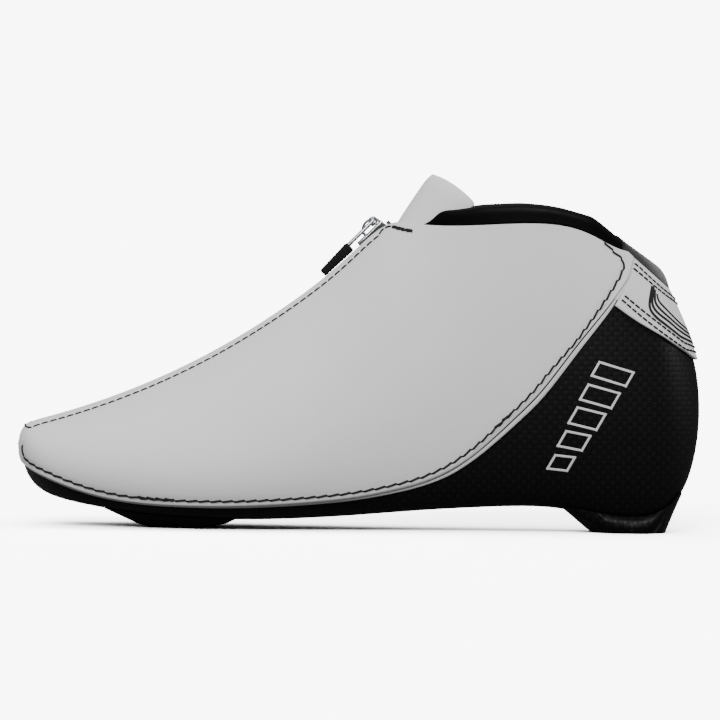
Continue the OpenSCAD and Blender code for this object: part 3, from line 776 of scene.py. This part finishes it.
def ribbedSleeve():
    ops.mesh.primitive_cube_add(size=1, location=(0, 0, (pull["start"] + pull["long"] / 2) * mm))
    sleeve = pick(bpy.context.object)
    sleeve.name = "pullSleeve"
    sleeve.scale = (pull["thick"] * 0.95 * mm, pull["wide"] * 0.97 * mm, pull["long"] * mm)
    ops.object.transform_apply(location=True, rotation=True, scale=True)
    modify(sleeve, "BEVEL", width=0.7 * mm, segments=4, limit_method="ANGLE")
    rings = [sleeve]
    for k in range(pull["ribs"]):
        ops.mesh.primitive_cube_add(size=1, location=(0, 0, (pull["start"] + 1.5 + k * 1.62) * mm))
        rib = pick(bpy.context.object)
        rib.scale = (pull["thick"] * mm, pull["wide"] * mm, 1.2 * mm)
        ops.object.transform_apply(location=True, rotation=True, scale=True)
        modify(rib, "BEVEL", width=0.25 * mm, segments=3, limit_method="ANGLE")
        rings.append(rib)
    for one in rings:
        one.select_set(True)
    bpy.context.view_layer.objects.active = sleeve
    ops.object.join()
    for v in sleeve.data.vertices:
        slim = 1 - (1 - pull["tail"]) * (v.co.z / mm - pull["start"]) / pull["long"]
        v.co.x, v.co.y = v.co.x * slim - pull["low"] * mm, v.co.y * (0.5 + 0.5 * slim)
    sleeve.rotation_euler = (0, math.radians(-pull["dir"]), 0)
    sleeve.location = pull["pivot"]
    ops.object.transform_apply(location=True, rotation=True, scale=True)
    sleeve.data.materials.clear()
    sleeve.data.materials.append(finishes["rubber"])
    ops.object.shade_smooth_by_angle(angle=math.radians(40))
    return stand(sleeve, "zip_pull", "pull_sleeve")


ribbedSleeve()
print("zip ready")

# tongue

tongue = {"low": (-58, 9.8), "thick": 2.8}


def tonguePoint(along, u, deep):  # along runs from 0 at the toe end to 1 at the hinge and 2 at the top
    k = 1 - math.cos(math.radians(80))
    if along <= 1:
        t = along
        x = tongue["low"][0] + (tongue["low"][1] - tongue["low"][0]) * t
        r = zipper["radius"] + 6.5 + deep
        w = 15 + 2 * t
        z = 339 - math.sqrt(r * r - (x + 209) ** 2)
        y = w * math.sin(math.radians(80 * u)) / math.sin(math.radians(80))
        return np.array([x + (2 + 6 * t) * u * u, y, z - (6 + 6.5 * t) * u * u])
    t = along - 1
    w = 15.5 + 2.7 * t
    c = 1 - math.cos(math.radians(80 * u))
    y = w * math.sin(math.radians(80 * u)) / math.sin(math.radians(80))
    x = 11.6 + 17.0 * t ** 1.12
    q = c / k
    z = 121.2 + 27.3 * t + 7 * q * (1 - q) * t ** 3
    lean = math.radians(70 * u)
    return np.array([x + (12.5 + 6.1 * t) * q + deep * math.cos(lean) * 0.84, y - deep * math.sin(lean),
                     z - (10 + 2.5 * t) * q - deep * 0.5 * math.cos(lean)])


def softTongue():
    rows = [k / 12 for k in range(12)] + [1.02 + 0.98 * k / 16 for k in range(17)]
    cols = [-1 + 2 * k / 20 for k in range(21)]
    sheets = []
    for part in (0, 1):
        for a in rows:
            for u in cols:
                edge = min(1.0, 6 * (1 - abs(u)) + 0.35, 6 * (2 - a) + 0.35, 8 * a + 0.35)
                middle = tongue["thick"] / 2
                sheets.append(tonguePoint(a, u, middle + (part - 0.5) * tongue["thick"] * edge))
    shift = np.array([0.145, -0.336, 0])
    points = [(p + shift) * mm for p in sheets]
    wide, count = len(cols), len(rows) * len(cols)
    faces = []
    for i in range(len(rows) - 1):
        for j in range(wide - 1):
            a = i * wide + j
            faces.append((a, a + 1, a + wide + 1, a + wide))
            faces.append((count + a, count + a + wide, count + a + wide + 1, count + a + 1))
    rim = list(range(wide)) + [i * wide + wide - 1 for i in range(1, len(rows))]
    rim += [(len(rows) - 1) * wide + j for j in range(wide - 2, -1, -1)]
    rim += [i * wide for i in range(len(rows) - 2, 0, -1)]
    for a, b in zip(rim, rim[1:] + rim[:1]):
        faces.append((a, count + a, count + b, b))
    flap = newMesh("softTongue", points, faces, "tongue")
    modify(flap, "SUBSURF", levels=1, render_levels=1)
    pick(flap)
    ops.object.shade_smooth()
    return flap


flap = softTongue()
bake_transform(flap)
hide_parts("tongue_lower", "tongue_upper")
print("tongue ready")
